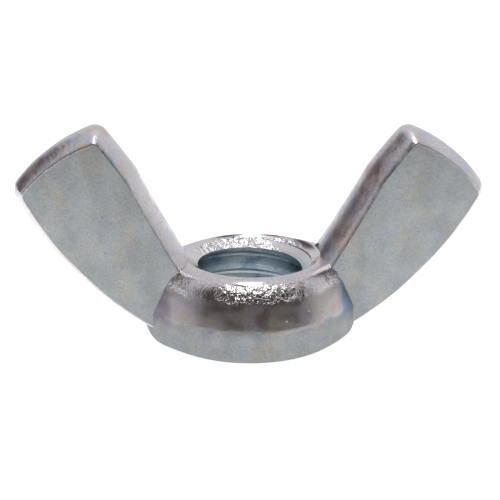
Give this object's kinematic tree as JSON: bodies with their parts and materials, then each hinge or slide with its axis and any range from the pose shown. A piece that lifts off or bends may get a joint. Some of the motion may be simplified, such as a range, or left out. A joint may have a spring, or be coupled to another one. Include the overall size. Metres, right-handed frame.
{
  "type": "wing nut",
  "caption": "Zinc-plated M8 wing nut: a bell-shaped hub with a tapped through hole and flat, near-rectangular wings raised outwards for turning by hand.",
  "frame": {"origin": "centre of the bearing face, on the thread's axis", "axes": "+Z along the thread's axis, from the bearing face towards the wing tips; +X along the span of the wings; Y through their thickness"},
  "size_m": [0.03, 0.0124, 0.0137],
  "materials": {
    "zinc_plated_steel": "bright zinc plate with a pale blue-grey passivation, satin on the pressed wing faces and glossier on the hub, with fine pits and stains"
  },
  "bodies": {
    "root": {"wing_nut": "zinc_plated_steel"}
  },
  "joints": []
}
